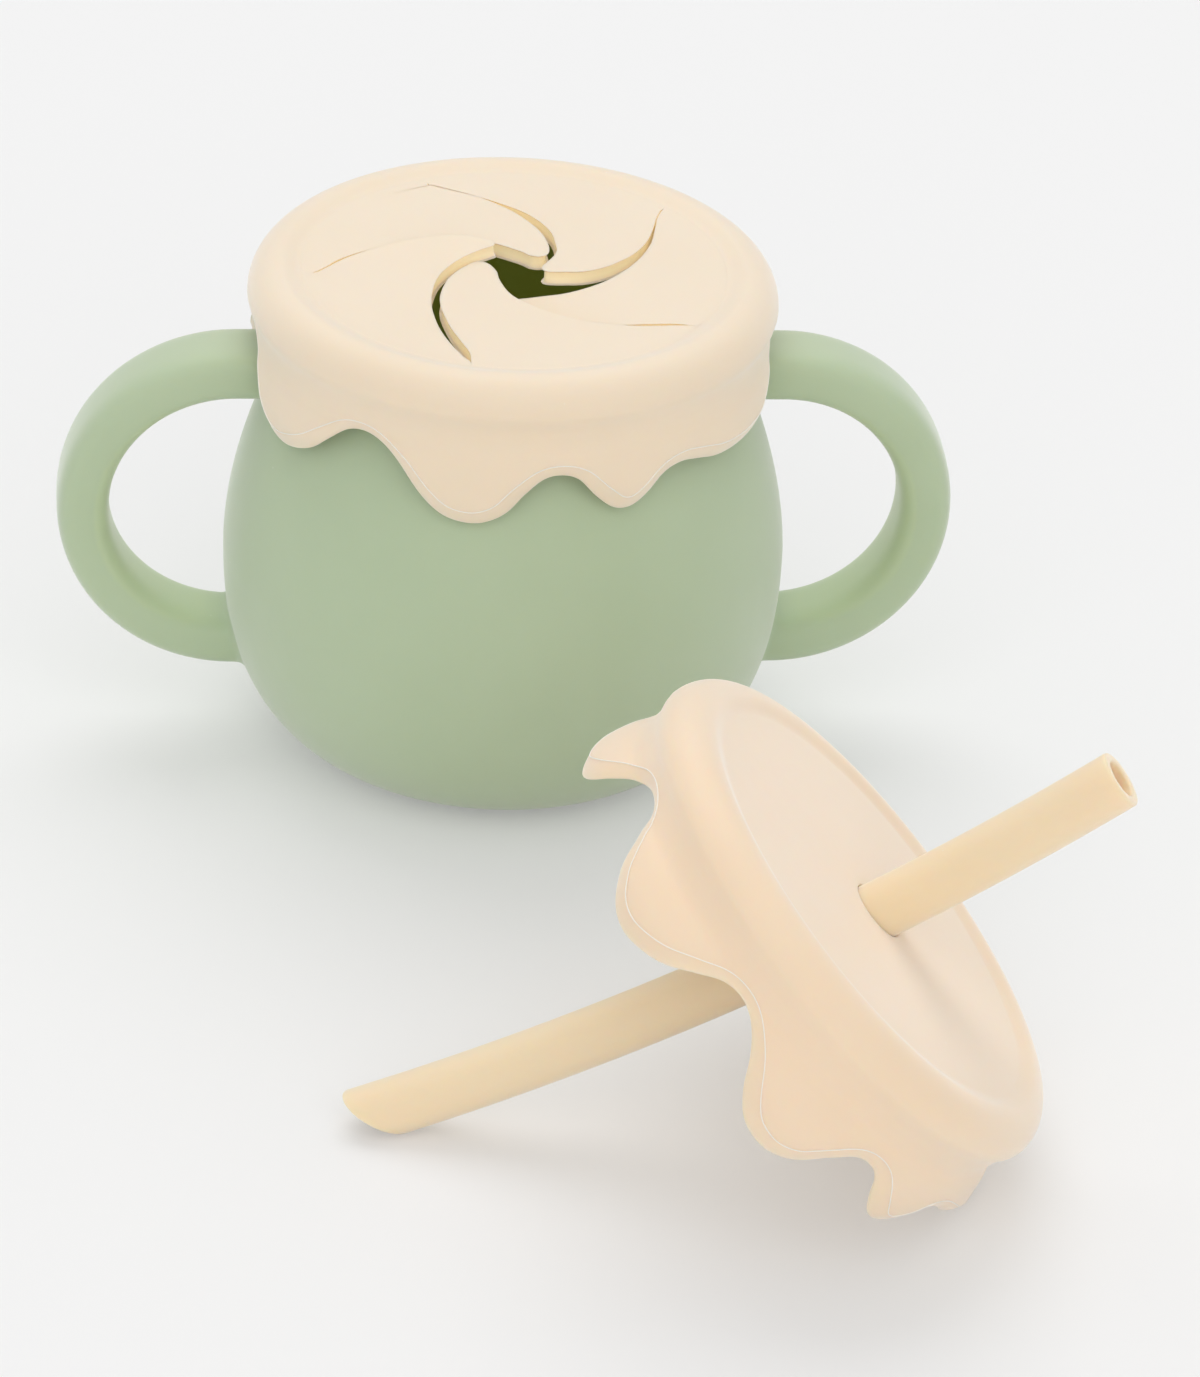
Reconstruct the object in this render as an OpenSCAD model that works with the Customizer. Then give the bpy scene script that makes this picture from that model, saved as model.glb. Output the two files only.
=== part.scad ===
/* [Cup] */
// Radius of the flat the cup stands on
base_r = 22; // [16:0.5:26]
// Largest outer radius of the belly
belly_r = 45.1; // [43:0.1:50]
// Height of the widest point of the belly
belly_z = 33.5; // [26:0.5:40]
// Outer radius of the rolled rim that the lid grips
rim_r = 38.15; // [37:0.05:39.5]
// Width of the rolled rim's top, in to the mouth
rim_w = 4.95; // [4.5:0.05:6]
// How far the neck is set in under the rolled rim
neck_in = 3.45; // [2:0.05:3.6]
// Height of the neck
neck_z = 69.3; // [64:0.1:70]
// Roundness of the lower belly, where 2 is an ellipse
lower_round = 2.35; // [2:0.05:3]
// How late the upper belly draws in to the neck, where 1 is a straight cone
upper_swell = 1.8; // [1.4:0.05:2.2]
// Thickness of the cup's side wall
cup_wall = 3; // [2:0.1:3.5]
// Thickness of the cup's floor
floor_t = 4; // [2.5:0.1:6]
// Height of the rolled rim above the neck
rim_h = 10.55; // [9:0.05:14]
// Rounding of the rolled rim's edges
rim_round = 1.6; // [0.8:0.1:2]

/* [Handles] */
// How far inside the belly's radius a handle's round end is centred
handle_in = 1.5; // [-2:0.1:4]
// Height of the handles' middle
handle_z = 41.4; // [38:0.1:44]
// Radius of the handle's centre line
handle_r = 24.1; // [18:0.1:26]
// Width of the strap
strap_w = 13; // [9:0.1:16]
// Thickness of the strap
strap_t = 8.4; // [6:0.1:10]
// Squareness of the strap's section, where 2 is an ellipse
strap_square = 3; // [2:0.1:4]
// Turn of the two handles about the cup's axis
handle_turn = 5.9; // [0:0.1:8]

/* [Lid] */
// How far the lid's rounded ring stands out from the valley under it
ring_out = 1.1; // [0.6:0.05:2]
// Width of the ring, from its outer edge in to the crease round the flat middle
ring_w = 7.4; // [6.5:0.1:8]
// Rounding of the ring's shoulder
ring_round = 5.5; // [4:0.1:5.8]
// Height of the ring's crown above the flat middle
crown_h = 0.95; // [0.4:0.05:2]
// Thickness of the flat middle
flap_t = 2.4; // [1.6:0.1:3]
// Gap between the cup's rim and the lid all round it
lid_gap = 0.35; // [0.3:0.05:0.6]
// Thickness of the ring's wall where the skirt leaves it
lid_wall = 2.4; // [1.8:0.1:2.8]
// Depth of the valley below the flat middle
valley_depth = 9.6; // [9:0.1:10]
// How far the snack lid's skirt flares out from the valley
snack_flare_out = 1.65; // [1:0.05:4]
// How far the straw lid's skirt flares out from the valley
flare_out = 2.6; // [1:0.1:4]
// Depth at which the skirt reaches its full flare
flare_depth = 17.4; // [15:0.1:18]
// Angle and depth of each drip's lowest point, going round the lid
drips = [[-149.5, 20.2], [-96.5, 22.5], [-62, 20.8], [-27, 18],
         [32, 16.2], [76, 20.4], [121, 17.6], [160.5, 19.5]];
// Angle and depth of the valley that comes before each drip
dips = [[-174.5, 9.9], [-121, 11.4], [-77, 14.2], [-47.5, 15.5],
        [5, 10.6], [54, 12.6], [99, 13.2], [143, 12]];

/* [Flaps] */
// Angle of each slit's outer end, going clockwise round the lid
slit_at = [116.2, 44.2, -27.8, -99.8, -171.8];
// Width of each slit
slit_w = [1.5, 1.8, 1.2, 1.9, 1.2];
// How far inside the crease the slits end
slit_in = 2.3; // [1.5:0.1:4]
// Radius of the arc that each slit follows
slit_arc_r = 22.2; // [20:0.1:24]
// Distance at which each slit's arc passes the middle of the lid
hub_gap = 4.2; // [3.5:0.1:6]
// How much nearer to the middle than the slits' ends the flaps' hinge lines pass
hinge_in = 9; // [8:0.1:10]
// How far each flap's nose sits above or below level, in degrees
flap_set = [4, -6, -1, 1, -1];
// Room left round the root of each flap
hinge_gap = 0.06; // [0.03:0.01:0.1]
// Largest turn down that the root leaves room for
root_down = 68; // [50:1:75]
// Largest turn up that the root leaves room for
root_up = 40; // [20:1:45]

/* [Second lid and straw] */
// Where the second lid lies beside the cup, to the right
straw_lid_x = 58.1; // [40:0.1:90]
// Where the second lid lies beside the cup, to the front
straw_lid_y = -117.6; // [-160:0.1:-115]
// Lean of the second lid's axis away from upright
straw_lid_lean = 47.3; // [45:0.1:55]
// Direction in which the second lid leans
straw_lid_way = 5; // [-20:1:20]
// Turn of the second lid about its own axis
straw_lid_turn = 2.5; // [-10:0.5:10]
// How far the straw's hole lies from the second lid's middle, towards its low side
straw_hole_low = 1.05; // [-4:0.05:4]
// How far the straw's hole lies from the second lid's middle, across its lean
straw_hole_across = -0.65; // [-4:0.05:4]
// Outer diameter of the straw
straw_od = 8.8; // [7:0.1:10]
// Bore of the straw
straw_bore = 5.6; // [4:0.1:6]
// Radius of the straw's long bend
straw_bend_r = 468; // [440:1:900]
// Direction in which the straw points, seen from above
straw_way = 1.5; // [-5:0.1:12]
// Length of the straw below the lid
straw_below = 81; // [60:0.1:82]
// Length of the straw above the lid
straw_above = 42.5; // [30:0.1:80]
// Gap round the straw in its hole
straw_gap = 0.1; // [0.05:0.01:0.3]
// Gap under the second lid and the straw's foot on the floor
floor_gap = 0.1; // [0:0.05:0.3]
// Angle between the slanting cut at the straw's foot and the straw
foot_cut = 50; // [40:1:80]

/* [Hidden] */
$fn = 96;
turned_fn = 128;
// Overlap of two shapes that join, and a length longer than any part
eps = 0.01;
far = 200;
// Steps along the cup's curves, a drip's side, the skirt's flare and round the strap's section
curve_steps = 12;
drip_steps = 6;
flare_steps = 5;
strap_steps = 28;
// Angles at which the rounded edges of the rim and of the lid's ring start and stop
rim_under_a = -60;
crown_a = 100;
shoulder_a = -35;
// How far a drip's sides run on into its neighbours, and the skirt's profile below its longest drip
drip_overlap = 2;
skirt_spare = 2;
petals = len(slit_at);
green = "#b4c4a0";
cream = "#f0e2cc";
tan_cream = "#e9d3b0";

rim_top = neck_z + rim_h;
mouth_r = rim_r - rim_w;
neck_r = rim_r - neck_in;
handle_x = belly_r - handle_in;
inner_base_r = base_r - cup_wall / 3;
inner_belly_r = belly_r - cup_wall;
inner_neck_r = neck_r - cup_wall;
rim_foot_z = neck_z + rim_h * 0.3;
lid_bore_r = rim_r + lid_gap;
valley_r = lid_bore_r + lid_wall;
ring_r = valley_r + ring_out;
crease_r = ring_r - ring_w;
snack_flare_r = valley_r + snack_flare_out;
flare_r = valley_r + flare_out;
slit_end_r = crease_r - slit_in;
hinge_d = slit_end_r - hinge_in;
lid_top = rim_top + lid_gap + flap_t;
skirt_low = max([for (d = drips) d[1]]) + skirt_spare;
arc_d = slit_arc_r - hub_gap;
arc_lead = acos((pow(arc_d, 2) + pow(slit_end_r, 2) - pow(slit_arc_r, 2)) / (2 * arc_d * slit_end_r));
root_r = flap_t / 2;
step_a = 360 / petals;
// The hinge line of a flap starts at the outer end of the next slit, so its direction follows from there
hinge_turn = step_a - acos(hinge_d / slit_end_r);
// Depth of the skirt's edge between a valley and a drip, for k from 0 at the valley to 1 at the drip
function edge_depth(dip, drip, k) = dip[1] + (drip[1] - dip[1]) * (1 - cos(180 * k)) / 2;

// Signed turn from one angle to another, between -180 and 180
function turn(a, b) = let (d = (b - a) % 360) d > 180 ? d - 360 : d < -180 ? d + 360 : d;

function dip_after(i) = dips[(i + 1) % len(dips)];

// How far below the second lid's middle a point on the skirt's edge reaches
function reach_down(a, depth) =
    sin(straw_lid_lean) * flare_r * cos(a + straw_lid_turn) + cos(straw_lid_lean) * depth;

// The second lid's middle is as high above the floor as the lowest point of its drips needs
straw_lid_z = floor_gap + max([for (i = [0:len(drips) - 1], k = [0:drip_steps]) let (
    u = k / drip_steps, drip = drips[i], before = dips[i], after = dip_after(i))
    max(reach_down(drip[0] + turn(drip[0], before[0]) * (1 - u), edge_depth(before, drip, u)),
        reach_down(drip[0] + turn(drip[0], after[0]) * u, edge_depth(after, drip, 1 - u)))]);

// The straw's hole, halfway through the flat middle
straw_hole_reach = straw_hole_low * cos(straw_lid_lean) - flap_t / 2 * sin(straw_lid_lean);
straw_hole = [
    straw_lid_x + straw_hole_reach * cos(straw_lid_way) - straw_hole_across * sin(straw_lid_way),
    straw_lid_y + straw_hole_reach * sin(straw_lid_way) + straw_hole_across * cos(straw_lid_way),
    straw_lid_z - straw_hole_low * sin(straw_lid_lean) - flap_t / 2 * cos(straw_lid_lean)];

// Angles of the straw's bend down to the middle and to the lowest point of the cut at its foot
below_a = straw_below / straw_bend_r * 180 / PI;
foot_a = (straw_below - straw_od / 2 / tan(foot_cut)) / straw_bend_r * 180 / PI;

// The straw's angle above the floor at its hole, at which its foot meets the floor, found in a few rounds
function rise_to_floor(rounds) = rounds == 0 ? foot_a : foot_a / 2 + asin(
    (straw_hole[2] - floor_gap - straw_od / 2 * cos(rise_to_floor(rounds - 1) - foot_a))
    / (2 * straw_bend_r * sin(foot_a / 2)));
straw_rise = rise_to_floor(6);

// The rounded curve from the flat base up to the belly's widest point
function lower_curve(r0, r1, z0, z1) =
    [for (i = [0:curve_steps]) let (t = 90 - 90 * i / curve_steps)
        [r0 + (r1 - r0) * pow(cos(t), 2 / lower_round), z1 - (z1 - z0) * pow(sin(t), 2 / lower_round)]];

// The draw-in from the belly to the neck
function upper_curve(r0, r1, z0, z1) =
    [for (i = [1:curve_steps]) let (k = i / curve_steps)
        [r0 - (r0 - r1) * pow(k, upper_swell), z0 + (z1 - z0) * k]];

// Points on an arc, for the round edges of a turned profile
function arc(cr, cz, r, a0, a1, n) =
    [for (i = [0:n]) let (a = a0 + (a1 - a0) * i / n) [cr + r * cos(a), cz + r * sin(a)]];

function reversed(list) = [for (i = [len(list) - 1:-1:0]) list[i]];

cup_outer = concat(
    [[0, 0]],
    lower_curve(base_r, belly_r, 0, belly_z),
    upper_curve(belly_r, neck_r, belly_z, neck_z));

rim_section = concat(
    [[rim_r - rim_round, rim_foot_z]],
    arc(rim_r - rim_round, rim_foot_z + rim_round, rim_round, rim_under_a, 0, 3),
    arc(rim_r - rim_round, rim_top - rim_round, rim_round, 0, 90, 4),
    arc(mouth_r + rim_round, rim_top - rim_round, rim_round, 90, 180, 4));

// The cup's outside with its hollow filled, which the handles end on
cup_filled = concat(cup_outer, [for (p = rim_section) if (p[0] > neck_r) p], [[0, rim_top]]);

cup_inner = concat(
    [[0, floor_t]],
    lower_curve(inner_base_r, inner_belly_r, floor_t, belly_z),
    upper_curve(inner_belly_r, inner_neck_r, belly_z, neck_z));

module cup_bowl() color(green)
    rotate_extrude($fn = turned_fn) polygon(concat(cup_outer, rim_section, reversed(cup_inner)));

// The strap's section, a rounded rectangle that follows a superellipse
strap_section = [for (i = [0:strap_steps - 1]) let (a = 360 * i / strap_steps)
    [sign(cos(a)) * pow(abs(cos(a)), 2 / strap_square) * strap_t / 2,
     sign(sin(a)) * pow(abs(sin(a)), 2 / strap_square) * strap_w / 2]];

// One strap that leaves the belly level, turns through a half circle and comes back level
module handle() color(green) difference() {
    translate([handle_x, 0, handle_z]) rotate([90, 0, 0]) {
        rotate([0, 0, -90]) rotate_extrude(angle = 180)
            translate([handle_r, 0]) polygon(strap_section);
        for (s = [-1, 1]) translate([eps, s * handle_r, 0]) rotate([0, -90, 0])
            linear_extrude(handle_x - neck_r + cup_wall) rotate(90) polygon(strap_section);
    }
    rotate_extrude($fn = turned_fn) polygon(cup_filled);
}

module left_handle() rotate(handle_turn + 180) handle();
module right_handle() rotate(handle_turn) handle();

// Profile of the lid's outside from its middle, over the ring and down into the valley
ring_outer = concat(
    [[crease_r, 0]],
    arc(ring_r - ring_round, crown_h - ring_round, ring_round, crown_a, shoulder_a, 9),
    [[valley_r, -valley_depth]]);

// The skirt swells out from the valley to its full flare and then hangs straight
function skirt_outer(full_r) = concat(
    [for (i = [1:flare_steps]) let (k = i / flare_steps, out = (1 - cos(180 * k)) / 2)
        [valley_r + (full_r - valley_r) * out, -valley_depth - (flare_depth - valley_depth) * k]],
    [[full_r, -skirt_low]]);

module ring_and_top() rotate_extrude($fn = turned_fn) polygon(concat(
    [[0, 0]], ring_outer, [[lid_bore_r, -valley_depth], [lid_bore_r, -flap_t], [0, -flap_t]]));

module skirt_band(full_r) rotate_extrude($fn = turned_fn) polygon(concat(
    [[valley_r, -valley_depth]], skirt_outer(full_r),
    reversed([for (p = skirt_outer(full_r)) [p[0] - lid_wall, p[1]]]), [[lid_bore_r, -valley_depth]]));

// A prism that leaves one drip of the skirt, with its outline seen from straight in front
module drip_prism(i, full_r) {
    drip = drips[i];
    before = dips[i];
    after = dip_after(i);
    back = turn(drip[0], before[0]);
    on = turn(drip[0], after[0]);
    steps = [for (k = [0:drip_steps]) k / drip_steps];
    outline = concat(
        [[full_r * sin(back - drip_overlap), 0], [full_r * sin(back - drip_overlap), -before[1]]],
        [for (k = steps) [full_r * sin(back * (1 - k)), -edge_depth(before, drip, k)]],
        [for (k = [1:drip_steps]) let (u = k / drip_steps)
            [full_r * sin(on * u), -edge_depth(after, drip, 1 - u)]],
        [[full_r * sin(on + drip_overlap), -after[1]], [full_r * sin(on + drip_overlap), 0]]);
    rotate(drip[0]) translate([lid_bore_r - lid_wall, 0, 0]) rotate([90, 0, 90])
        linear_extrude(full_r) polygon(outline);
}

// The lid that both tops share, with its skirt's full radius and with the flat's top face at height 0
module drip_lid(full_r) {
    ring_and_top();
    intersection() {
        skirt_band(full_r);
        union() for (i = [0:len(drips) - 1]) drip_prism(i, full_r);
    }
}

function slit_centre(i) = let (a = slit_at[i % petals] + arc_lead) [arc_d * cos(a), arc_d * sin(a)];
function slit_half(i) = slit_w[i % petals] / 2;
function hinge_way(i) = slit_at[i] - hinge_turn;

module slit_disc(i, grow) translate(slit_centre(i)) translate([0, 0, -flap_t - far / 2])
    cylinder(r = slit_arc_r + grow, h = far, $fn = turned_fn);

// The part of the flat on the hub's side of a flap's hinge line
module inside_hinge(i) rotate(hinge_way(i)) translate([hinge_d - far, -far / 2, -far / 2]) cube(far);

module flat_plate(drop) translate([0, 0, -flap_t - drop]) cylinder(r = crease_r, h = flap_t + 2 * drop);

// Place something drawn along +X at the hinge line of flap i
module at_hinge(i) rotate(hinge_way(i)) translate([hinge_d, 0, -root_r]) rotate([0, 0, 90]) children();

module root_bar(r) rotate([0, 90, 0]) translate([0, 0, -far / 2]) cylinder(r = r, h = far, $fn = 48);

// Room that the root needs to turn: a round seat, open below and above for the flap's travel
module root_room(i) intersection() {
    at_hinge(i) {
        root_bar(root_r + hinge_gap);
        mirror([0, 1, 0]) rotate([90, 0, 90]) translate([0, 0, -far / 2]) linear_extrude(far) polygon([
            [0, 0], [root_r / sin(root_down) + hinge_gap, 0],
            [root_r * (1 - cos(root_down)) / sin(root_down) + hinge_gap, -root_r - 1],
            [hinge_d - far, -root_r - 1], [hinge_d - far, root_r + 1],
            [root_r * (1 - cos(root_up)) / sin(root_up) + hinge_gap, root_r + 1],
            [root_r * sin(root_up) + hinge_gap, root_r * cos(root_up)]]);
    }
    difference() {
        slit_disc(i + 1, slit_half(i + 1));
        slit_disc(i, -slit_half(i));
    }
}

// A flap turned to where it rests, about the middle of its round root
module petal(i) color(cream) translate([0, 0, lid_top])
    at_hinge(i) rotate([flap_set[i], 0, 0]) {
        rotate([0, 0, -90]) translate([-hinge_d, 0, root_r]) rotate(-hinge_way(i)) intersection() {
            union() {
                intersection() {
                    flat_plate(0);
                    inside_hinge(i);
                }
                intersection() {
                    flat_plate(0);
                    at_hinge(i) root_bar(root_r);
                }
            }
            difference() {
                slit_disc(i + 1, -slit_half(i + 1));
                slit_disc(i, slit_half(i));
            }
        }
    }

module snack_lid() color(cream) translate([0, 0, lid_top]) difference() {
    drip_lid(snack_flare_r);
    for (i = [0:petals - 1]) {
        root_room(i);
        rotate(slit_at[i]) translate([slit_end_r, 0, -far / 2]) cylinder(r = slit_half(i), h = far, $fn = 32);
    }
    translate([0, 0, -far / 2]) cylinder(r = hub_gap + max(slit_w) / 2, h = far);
}

module petal_1() petal(0);
module petal_2() petal(1);
module petal_3() petal(2);
module petal_4() petal(3);
module petal_5() petal(4);

// The second lid's own frame, with +Z along its axis and +X towards its low side
module at_straw_lid()
    translate([straw_lid_x, straw_lid_y, straw_lid_z]) rotate(straw_lid_way) rotate([0, straw_lid_lean, 0])
        children();

// The straw's frame at its hole: +X along the straw, upwards, and +Z towards the middle of its long bend
module at_straw() translate(straw_hole) rotate(straw_way) rotate([0, -straw_rise, 0]) children();

// A bent rod along the straw's line, from below the hole to above it
module straw_line(r, below, above)
    rotate([90, 0, 0]) translate([0, straw_bend_r, 0]) rotate(-90 - below / straw_bend_r * 180 / PI)
        rotate_extrude(angle = (below + above) / straw_bend_r * 180 / PI, $fn = 360)
            translate([straw_bend_r, 0]) circle(r = r, $fn = 48);

// The space beyond the slanting cut at the straw's foot
module beyond_foot() translate([0, 0, straw_bend_r]) rotate([0, below_a, 0]) translate([0, 0, -straw_bend_r])
    rotate([0, foot_cut - 90, 0]) translate([-far, -far / 2, -far / 2]) cube(far);

module straw_lid() color(cream) difference() {
    at_straw_lid() rotate(straw_lid_turn) drip_lid(flare_r);
    at_straw() straw_line(straw_od / 2 + straw_gap, flap_t * 3, flap_t * 3);
}

module straw() color(tan_cream) at_straw() difference() {
    straw_line(straw_od / 2, straw_below + straw_od, straw_above);
    straw_line(straw_bore / 2, straw_below + 2 * straw_od, straw_above + 1);
    beyond_foot();
}

cup_bowl();
left_handle();
right_handle();
snack_lid();
petal_1();
petal_2();
petal_3();
petal_4();
petal_5();
straw_lid();
straw();
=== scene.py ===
"""Toddler snack container: a cup with two handles, a slit snack lid, and a second lid with its straw."""

import logging
import math
from dataclasses import dataclass, field, replace
from enum import Enum
from typing import Any, Sequence

import bmesh
import bpy
import numpy as np
from mathutils import Matrix

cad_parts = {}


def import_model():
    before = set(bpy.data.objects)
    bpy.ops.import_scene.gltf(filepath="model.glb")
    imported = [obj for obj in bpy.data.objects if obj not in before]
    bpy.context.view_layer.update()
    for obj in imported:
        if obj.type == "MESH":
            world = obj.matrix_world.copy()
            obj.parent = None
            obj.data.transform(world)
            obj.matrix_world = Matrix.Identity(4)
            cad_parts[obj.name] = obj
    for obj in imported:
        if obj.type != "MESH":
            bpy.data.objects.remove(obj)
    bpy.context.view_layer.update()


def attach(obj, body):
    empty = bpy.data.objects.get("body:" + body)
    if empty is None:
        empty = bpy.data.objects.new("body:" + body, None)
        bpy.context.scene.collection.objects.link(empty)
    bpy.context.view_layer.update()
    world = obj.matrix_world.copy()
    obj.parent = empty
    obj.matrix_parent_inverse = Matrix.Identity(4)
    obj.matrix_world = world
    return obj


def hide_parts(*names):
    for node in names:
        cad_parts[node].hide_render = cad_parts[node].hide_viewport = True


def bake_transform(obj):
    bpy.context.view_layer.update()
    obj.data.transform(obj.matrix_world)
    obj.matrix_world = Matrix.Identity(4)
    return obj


LOG = logging.getLogger("snack_container")
MM = 0.001
Pair = tuple[float, float]
BLACK, WHITE = (0, 0, 0), (1, 1, 1)
SKIN_R = 43.0


class Body(Enum):
    """The bodies that move on their own."""

    CUP = "cup"
    SNACK_LID = "snack_lid"
    STRAW_LID = "straw_lid"
    STRAW = "straw"


class Slot(Enum):
    """The record's material slots."""

    CUP = "cup_bowl"
    LEFT_HANDLE = "left_handle"
    RIGHT_HANDLE = "right_handle"
    SNACK_LID = "snack_lid"
    PETALS = "petals"
    STRAW_LID = "straw_lid"
    STRAW = "straw"


def unit(v: Sequence[float]) -> np.ndarray:
    """A vector of length 1 along v."""
    a = np.asarray(v, float)
    return a / np.linalg.norm(a)


def polar(radius: float, degrees: float) -> np.ndarray:
    """A point of the plane at that radius and angle."""
    a = math.radians(degrees)
    return np.array([radius * math.cos(a), radius * math.sin(a)])


def turn(a: float, b: float) -> float:
    """Signed turn from angle a to angle b in degrees, between -180 and 180."""
    return (b - a + 180.0) % 360.0 - 180.0


def ease(x: Any) -> Any:
    """Smooth step from 0 to 1."""
    t = np.clip(x, 0.0, 1.0)
    return t * t * (3.0 - 2.0 * t)


def hermite(t: Any, h: Any, ends: tuple[Any, Any], slopes: tuple[Any, Any]) -> np.ndarray:
    """Value at share t of a step of width h, from the values and slopes at its ends."""
    return ((1 + 2 * t) * (1 - t) ** 2 * ends[0] + t * (1 - t) ** 2 * h * slopes[0]
            + t * t * (3 - 2 * t) * ends[1] + t * t * (t - 1) * h * slopes[1])


def through(points: Sequence[Pair], at: Any) -> np.ndarray:
    """Smooth monotone curve through points.

    Args:
        points: (x, y) pairs with rising x.
        at: The x values wanted.

    Returns:
        The y values there.
    """
    x, y = np.array(points, float).T
    h = np.diff(x)
    d = np.diff(y) / h
    m = np.zeros_like(x)
    for i in range(1, len(x) - 1):
        if d[i - 1] * d[i] > 0:
            m[i] = 2 * d[i - 1] * d[i] / (d[i - 1] + d[i])
    m[0], m[-1] = d[0], d[-1]
    q = np.clip(np.asarray(at, float), x[0], x[-1])
    i = np.clip(np.searchsorted(x, q) - 1, 0, len(h) - 1)
    return hermite((q - x[i]) / h[i], h[i], (y[i], y[i + 1]), (m[i], m[i + 1]))


def smooth_line(points: Sequence[Pair], steps: int = 10) -> np.ndarray:
    """A smooth line through points in the plane.

    Args:
        points: The points in order.
        steps: Parts of the line between two points.

    Returns:
        The line's points, from the first to the last.
    """
    p = np.array(points, float)
    p = np.vstack([2 * p[0] - p[1], p, 2 * p[-1] - p[-2]])
    line = []
    for i in range(1, len(p) - 2):
        a, b, c, d = p[i - 1:i + 3]
        for t in np.linspace(0, 1, steps, endpoint=False):
            line.append(0.5 * (2 * b + (c - a) * t + (2 * a - 5 * b + 4 * c - d) * t * t
                               + (3 * b - a - 3 * c + d) * t ** 3))
    return np.array(line + [p[-2]])


def ways(line: np.ndarray) -> np.ndarray:
    """Way along a line at each of its points."""
    return np.concatenate([[0], np.cumsum(np.linalg.norm(np.diff(line, axis=0), axis=1))])


def smooth_round(points: Sequence[Pair], at: Any) -> np.ndarray:
    """Smooth value round a full turn.

    Args:
        points: (degrees, value) pairs with rising degrees within one turn.
        at: The angles wanted.

    Returns:
        The values there.
    """
    x, y = np.array(points, float).T
    x, y = np.concatenate([x - 360, x, x + 360]), np.tile(y, 3)
    slope = np.gradient(y, x)
    q = np.asarray(at, float)
    i = np.clip(np.searchsorted(x, q) - 1, 0, len(x) - 2)
    h = x[i + 1] - x[i]
    return hermite((q - x[i]) / h, h, (y[i], y[i + 1]), (slope[i], slope[i + 1]))


def grid_faces(rows: int, cols: int, around_rows: bool, around_cols: bool) -> list[tuple[int, ...]]:
    """Quads of a grid whose vertices lie row by row.

    Args:
        rows: Number of rows.
        cols: Number of points in a row.
        around_rows: Whether the last row joins the first.
        around_cols: Whether a row closes on itself.

    Returns:
        The faces as vertex numbers.
    """
    faces = []
    for i in range(rows if around_rows else rows - 1):
        for j in range(cols if around_cols else cols - 1):
            a, b = i * cols, (i + 1) % rows * cols
            k = (j + 1) % cols
            faces.append((a + j, a + k, b + k, b + j))
    return faces


def mesh_object(name: str, points: np.ndarray, faces: Sequence[tuple[int, ...]], finish: bpy.types.Material,
                sharp: float = 50.0) -> bpy.types.Object:
    """Makes a closed piece with outward faces.

    Args:
        name: The piece's name.
        points: Vertices in millimetres.
        faces: Vertex numbers of each face.
        finish: The piece's material.
        sharp: Angle in degrees above which an edge stays crisp.

    Returns:
        The new object, at the origin.
    """
    mesh = bpy.data.meshes.new(name)
    mesh.from_pydata((np.asarray(points) * MM).tolist(), [], [tuple(map(int, f)) for f in faces])
    clean(mesh, True)
    return place(name, mesh, finish, sharp)


def clean(mesh: bpy.types.Mesh, slivers: bool) -> None:
    """Merges doubled points and turns all faces outwards.

    Args:
        mesh: The closed mesh.
        slivers: Whether faces without area are dissolved too.
    """
    bm = bmesh.new()
    bm.from_mesh(mesh)
    bmesh.ops.remove_doubles(bm, verts=bm.verts, dist=1e-7)
    if slivers:
        bmesh.ops.dissolve_degenerate(bm, edges=bm.edges, dist=1e-8)
    bmesh.ops.recalc_face_normals(bm, faces=bm.faces)
    if bm.calc_volume(signed=True) < 0:
        bmesh.ops.reverse_faces(bm, faces=bm.faces)
    bm.to_mesh(mesh)
    bm.free()


def place(name: str, mesh: bpy.types.Mesh, finish: bpy.types.Material, sharp: float) -> bpy.types.Object:
    """Links a mesh as a smooth-shaded object with one material."""
    mesh.name = name
    mesh.materials.clear()
    mesh.materials.append(finish)
    mesh.polygons.foreach_set("use_smooth", [True] * len(mesh.polygons))
    mesh.set_sharp_from_angle(angle=math.radians(sharp))
    mesh.update()
    obj = bpy.data.objects.new(name, mesh)
    bpy.context.scene.collection.objects.link(obj)
    return obj


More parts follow.
